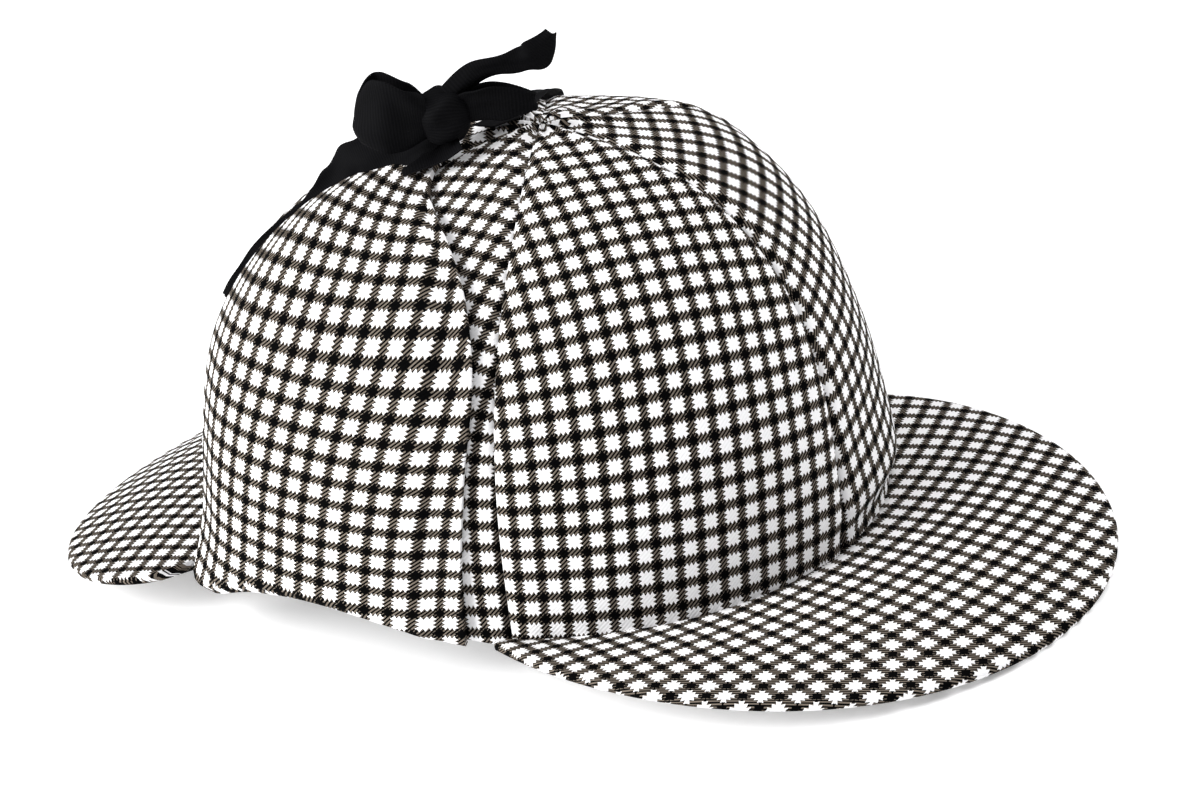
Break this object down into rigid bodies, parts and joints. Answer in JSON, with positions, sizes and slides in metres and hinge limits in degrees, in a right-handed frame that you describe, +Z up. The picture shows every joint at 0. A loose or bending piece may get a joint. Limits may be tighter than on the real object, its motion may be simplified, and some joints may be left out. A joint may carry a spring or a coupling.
{
  "type": "deerstalker hat",
  "caption": "Soft deerstalker hat with a gored crown, a peak at front and back, and ear flaps tied up over the crown in a ribbon bow.",
  "frame": {"origin": "under the middle of the hat, on the table that it rests on", "axes": "+X to the front peak, -Y to the wearer's right, +Z up"},
  "size_m": [0.3426, 0.1992, 0.1627],
  "materials": {
    "check_cloth": "matt black and white gingham check, soft cotton twill",
    "black_ribbon": "soft black ribbon, slight sheen"
  },
  "bodies": {
    "root": {"gore_front_right": "check_cloth", "gore_side_right": "check_cloth", "gore_rear_right": "check_cloth", "gore_rear_left": "check_cloth", "gore_side_left": "check_cloth", "gore_front_left": "check_cloth", "front_peak": "check_cloth", "rear_peak": "check_cloth", "ear_flap_right": "check_cloth", "ear_flap_left": "check_cloth", "bow_knot": "black_ribbon", "bow_loop_rear": "black_ribbon", "bow_loop_front": "black_ribbon", "ribbon_tail_standing": "black_ribbon", "ribbon_tail_lying": "black_ribbon", "ribbon_tie_left": "black_ribbon", "ribbon_tie_right": "black_ribbon"}
  },
  "joints": []
}
